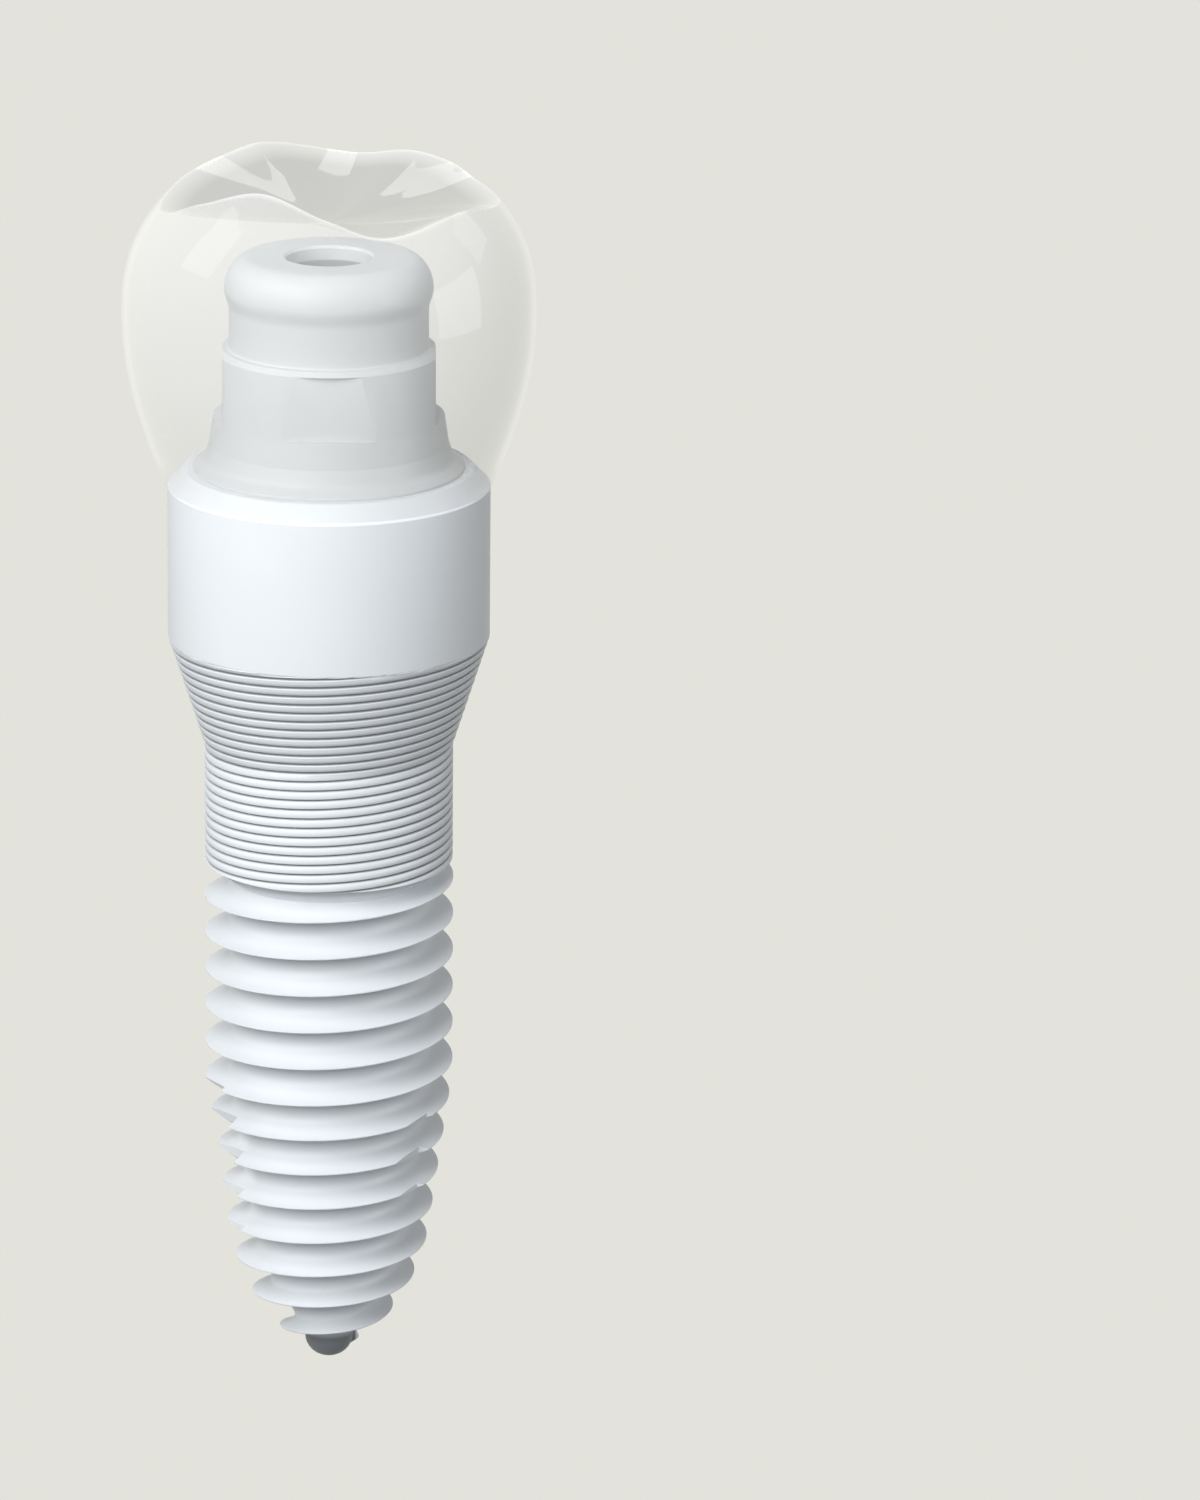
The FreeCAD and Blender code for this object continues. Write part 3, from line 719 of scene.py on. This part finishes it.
def add_node(tree, kind, settings=None, inputs=None, output=0):
    """Adds a node, sets it up, feeds its inputs and returns one of its outputs, if it has any."""
    node = tree.nodes.new(kind)
    for name, value in (settings or {}).items():
        setattr(node, name, value)
    for name, value in (inputs or {}).items():
        if isinstance(value, Wire):
            tree.links.new(value.socket, node.inputs[name])
        else:
            node.inputs[name].default_value = value
    return Wire(tree, node.outputs[output]) if node.outputs else None


def mixed(tree, factor, first, second):
    """A mix of two colours. The Mix node's colour sockets go by number, as their names aren't unique."""
    first, second = (
        colour if isinstance(colour, Wire) else (*colour, 1) for colour in (first, second))
    return add_node(tree, "ShaderNodeMix", {"data_type": "RGBA"}, {
        "Factor": factor, 6: first, 7: second}, output=2)


def new_material(name):
    material = bpy.data.materials.new(name)
    material.use_nodes = True
    tree = material.node_tree
    tree.nodes.clear()
    return material, tree


def surface(tree, shader, kind="ShaderNodeOutputMaterial"):
    """Ends a material, or the world, with its output node."""
    add_node(tree, kind, inputs={"Surface": shader})


def coordinates(tree, place):
    """The three coordinates of a place on a piece, in metres."""
    parts = add_node(tree, "ShaderNodeSeparateXYZ", inputs={"Vector": place})
    return [Wire(tree, output) for output in parts.socket.node.outputs]


def radius_and_height(tree, place):
    """Distance from the axis and height of a place on a piece, in millimetres."""
    x, y, z = coordinates(tree, place)
    return (x * x + y * y)**0.5 * (1 / MM), z * (1 / MM)


def fixture_shade(tree, place):
    """Painted shade on the fixture: down the micro-thread's grooves, on the tip and in the thread's
    root.
    """
    radius, height = radius_and_height(tree, place)
    slope = (COLLAR_RADIUS - NECK_RADIUS) / (COLLAR_BOTTOM - NECK_TOP)
    outside = ((height - NECK_TOP) * slope + NECK_RADIUS).at_least(NECK_RADIUS)
    depth = (outside - radius).ramp(MICRO_DEPTH)
    below_collar = (COLLAR_BOTTOM - height).ramp(0.01)
    above_thread = (height - NECK_BOTTOM).ramp(0.01)
    grooves = depth * below_collar * above_thread
    pin = (TIP_BOTTOM + 0.5 - height).ramp(0.125) * (TIP_RADIUS + 0.06 - radius).ramp(0.02)
    roots = root_shade(tree, place, height) * (1.0 - above_thread)
    return (grooves * GROOVE_PAINTED_SHADE).at_least(pin * PIN_PAINTED_SHADE).at_least(roots)


def root_shade(tree, place, height):
    """How shaded the thread's root is: most right under a crest, fading down the turn below it."""
    x, y, _ = coordinates(tree, place)
    turn = x.maths("ARCTAN2", x, 0.0 - y) * (1 / math.tau)
    below = 1.0 - x.maths("FRACT", (height - CREST_AT_FRONT) * (1 / PITCH) - turn)
    fading = (0.7 - below).ramp(0.46)**2.0
    past_edge = (below - 0.04).ramp(0.05)
    return fading * past_edge * ROOT_PAINTED_SHADE


def channel_shade(tree, place):
    """How dark the abutment is: down its screw channel, where little light reaches the wall."""
    radius, height = radius_and_height(tree, place)
    inside = (CHANNEL_MOUTH + 0.01 - radius).ramp(0.01)
    deep = (ABUTMENT_TOP - 0.2 - height).ramp(0.04)
    return inside * deep * CHANNEL_PAINTED_SHADE


def titanium(name, tone, shaded=None):
    """Fine-blasted titanium: soft sheen, faint lathe rings under it, and painted shade where shaded
    says.
    """
    material, tree = new_material(name)
    place = add_node(tree, "ShaderNodeTexCoord", output="Object")
    rings = add_node(tree, "ShaderNodeMapping", inputs={
        "Vector": place, "Scale": (300, 300, 60000)})
    lathe = add_node(tree, "ShaderNodeTexNoise", inputs={
        "Vector": rings, "Scale": 1.0, "Detail": 2.0})
    clouds = add_node(tree, "ShaderNodeTexNoise", inputs={
        "Vector": place, "Scale": 700.0, "Detail": 3.0})
    roughness = 0.42 + lathe * 0.05 + clouds * 0.06
    colour = mixed(tree, clouds, [0.95 * part for part in tone], tone)
    if shaded:
        # Painted shade: the colour goes towards a dark colour where the mask says
        colour = mixed(tree, shaded(tree, place), colour, PAINTED_SHADE_COLOUR)
    bump = add_node(tree, "ShaderNodeBump", inputs={
        "Height": lathe, "Strength": 0.05, "Distance": 0.004 * MM})
    shader = add_node(tree, "ShaderNodeBsdfPrincipled", inputs={
        "Base Color": colour, "Metallic": 0.12, "Roughness": roughness, "Normal": bump})
    surface(tree, shader)
    return material


def ceramic(name):
    """Glazed see-through ceramic.

    The near wall has a thin white haze, which thickens where it is seen edge on and along the ridge;
    there painted light is also added as emission. The haze is greyer in the chewing surface, partly
    for the thicker ceramic and partly as painted shade. The far wall is clear.
    """
    material, tree = new_material(name)
    place = add_node(tree, "ShaderNodeTexCoord", output="Object")
    clouds = add_node(tree, "ShaderNodeTexNoise", inputs={
        "Vector": place, "Scale": 500.0, "Detail": 2.0})
    along = add_node(tree, "ShaderNodeAttribute", {"attribute_name": "along"}, output="Fac")
    facing = add_node(tree, "ShaderNodeLayerWeight", inputs={"Blend": 0.5}, output="Facing")
    near = 1.0 - add_node(tree, "ShaderNodeNewGeometry", output="Backfacing")
    edge = (facing - 0.62).ramp(0.2) * 0.75
    rim = (facing**2.4).at_least(edge) * along.ramp(0.2)
    ridge = (1.0 - abs(along - 2.0) * 30.0).at_least(0.0)
    fossa = (along - 2.0).ramp(1 / 6)
    # The rim and the ridge: a thicker haze, and painted light added as emission
    edge_haze_and_painted_light = (rim * (1.0 - fossa)).at_least(ridge * 0.5)
    # The chewing surface is greyer, partly for its thicker ceramic and partly as painted shade
    body = mixed(tree, fossa, HAZE, CHEWING_SURFACE_TONE_AND_SHADE)
    painted_rim_light = mixed(tree, edge_haze_and_painted_light, BLACK, PAINTED_RIM_LIGHT)
    alpha = ((0.28 + edge_haze_and_painted_light * 0.5 + fossa * 0.14 + clouds * 0.04) * near).at_most(1.0)
    shader = add_node(tree, "ShaderNodeBsdfPrincipled", inputs={
        "Base Color": body, "Roughness": 0.06, "Alpha": alpha, "Coat Weight": 1.0,
        "Coat Roughness": 0.03, "Specular IOR Level": 0.9,
        "Emission Color": painted_rim_light, "Emission Strength": 1.0})
    surface(tree, shader)
    return material


def clear_film(name):
    """The inside of the crown, clear so that the abutment stays in plain view."""
    material, tree = new_material(name)
    shader = add_node(tree, "ShaderNodeBsdfPrincipled", inputs={
        "Base Color": (0.9, 0.9, 0.88, 1), "Roughness": 0.3, "Alpha": 0.0})
    surface(tree, shader)
    return material


# The studio, in metres

BACKDROP = (0.767, 0.767, 0.716)
AMBIENT = (0.19, 0.20, 0.215)
FLOOR_PAPER = (0.12, 0.12, 0.12)
FLOOR_HEIGHT = -0.08
FLOOR_SIZE = 4
LAMP_DISTANCE = 0.16
LAMP_AIM = Vector((0, 0, -0.004))


def seen_or_reflected(tree):
    """One for rays that see or reflect the backdrop, and nought for light on matt surfaces."""
    path = add_node(tree, "ShaderNodeLightPath").socket.node
    seen = Wire(tree, path.outputs["Is Camera Ray"])
    seen = seen.at_least(Wire(tree, path.outputs["Is Glossy Ray"]))
    return seen.at_least(Wire(tree, path.outputs["Is Transmission Ray"]))


def studio():
    """The backdrop, the floor and the lamps.

    A broad key light from the upper left makes no reflections, a weak fill is on the right, and three
    soft boxes show as reflections only.
    """
    world = bpy.data.worlds.new("studio")
    bpy.context.scene.world = world
    world.use_nodes = True
    tree = world.node_tree
    tree.nodes.clear()
    colour = mixed(tree, seen_or_reflected(tree), AMBIENT, BACKDROP)
    light = add_node(tree, "ShaderNodeBackground", inputs={"Color": colour, "Strength": 1.0})
    surface(tree, light, "ShaderNodeOutputWorld")

    floor = new_plane("floor", FLOOR_SIZE, FLOOR_HEIGHT)
    material, tree = new_material("floor_paper")
    matt = add_node(tree, "ShaderNodeBsdfDiffuse", inputs={"Color": (*FLOOR_PAPER, 1)})
    plain = add_node(tree, "ShaderNodeEmission", inputs={"Color": (*BACKDROP, 1), "Strength": 1.0})
    shader = add_node(tree, "ShaderNodeMixShader", inputs={
        0: seen_or_reflected(tree), 1: matt, 2: plain})
    surface(tree, shader)
    floor.data.materials.append(material)

    key = lamp("key", -32, 35, 0.15, 0.44, (0.97, 0.99, 1))
    key.visible_glossy = False
    lamp("fill", 70, 10, 0.1, 0.05, (0.93, 0.97, 1))
    for name, azimuth_angle, elevation, size, power in (
            ("left_softbox", -83, 33, 0.085, 0.026),
            ("right_softbox", 108, 36, 0.07, 0.013),
            ("back_softbox", 169, 62, 0.042, 0.011)):
        box = lamp(name, azimuth_angle, elevation, size, power, (1, 1, 1))
        box.visible_diffuse = False


def lamp(name, azimuth_angle, elevation, size, power, colour):
    """A square lamp aimed at the part.

    The angles are in degrees, the size is in metres and the power in watts.
    """
    turn = math.radians(azimuth_angle)
    rise = math.radians(elevation)
    place = LAMP_DISTANCE * Vector((
        math.sin(turn) * math.cos(rise), -math.cos(turn) * math.cos(rise), math.sin(rise)))
    bpy.ops.object.light_add(type="AREA", location=place)
    light = bpy.context.active_object
    light.name = name
    light.data.size = size
    light.data.energy = power
    light.data.color = colour
    light.rotation_euler = (LAMP_AIM - light.location).to_track_quat("-Z", "Y").to_euler()
    return light


def camera():
    """The photograph's view: it looks along +Y, 16.9 degrees down, with a long lens.

    The frame, the focal length and the column of the part's axis are in the photograph's pixels.
    """
    sensor = 24.0
    frame_width = 1200
    frame_height = 1500
    axis_column = 328.9
    focal = 8208.4
    elevation = math.radians(16.897)
    distance = 0.1281
    target = Vector((0, 0, -0.004302))
    bpy.ops.object.camera_add()
    view = bpy.context.active_object
    view.name = "photograph_view"
    view.data.sensor_fit = "VERTICAL"
    view.data.sensor_height = sensor
    view.data.lens = sensor * focal / frame_height
    view.data.shift_x = (frame_width / 2 - axis_column) / frame_height
    view.data.clip_start = 0.001
    view.data.clip_end = 20
    view.location = target + distance * Vector((0, -math.cos(elevation), math.sin(elevation)))
    view.rotation_euler = (math.pi / 2 - elevation, 0, 0)
    bpy.context.scene.camera = view


fixture()
abutment()
abutment_screw()
crown()
studio()
camera()
bpy.context.scene.view_settings.view_transform = "Standard"
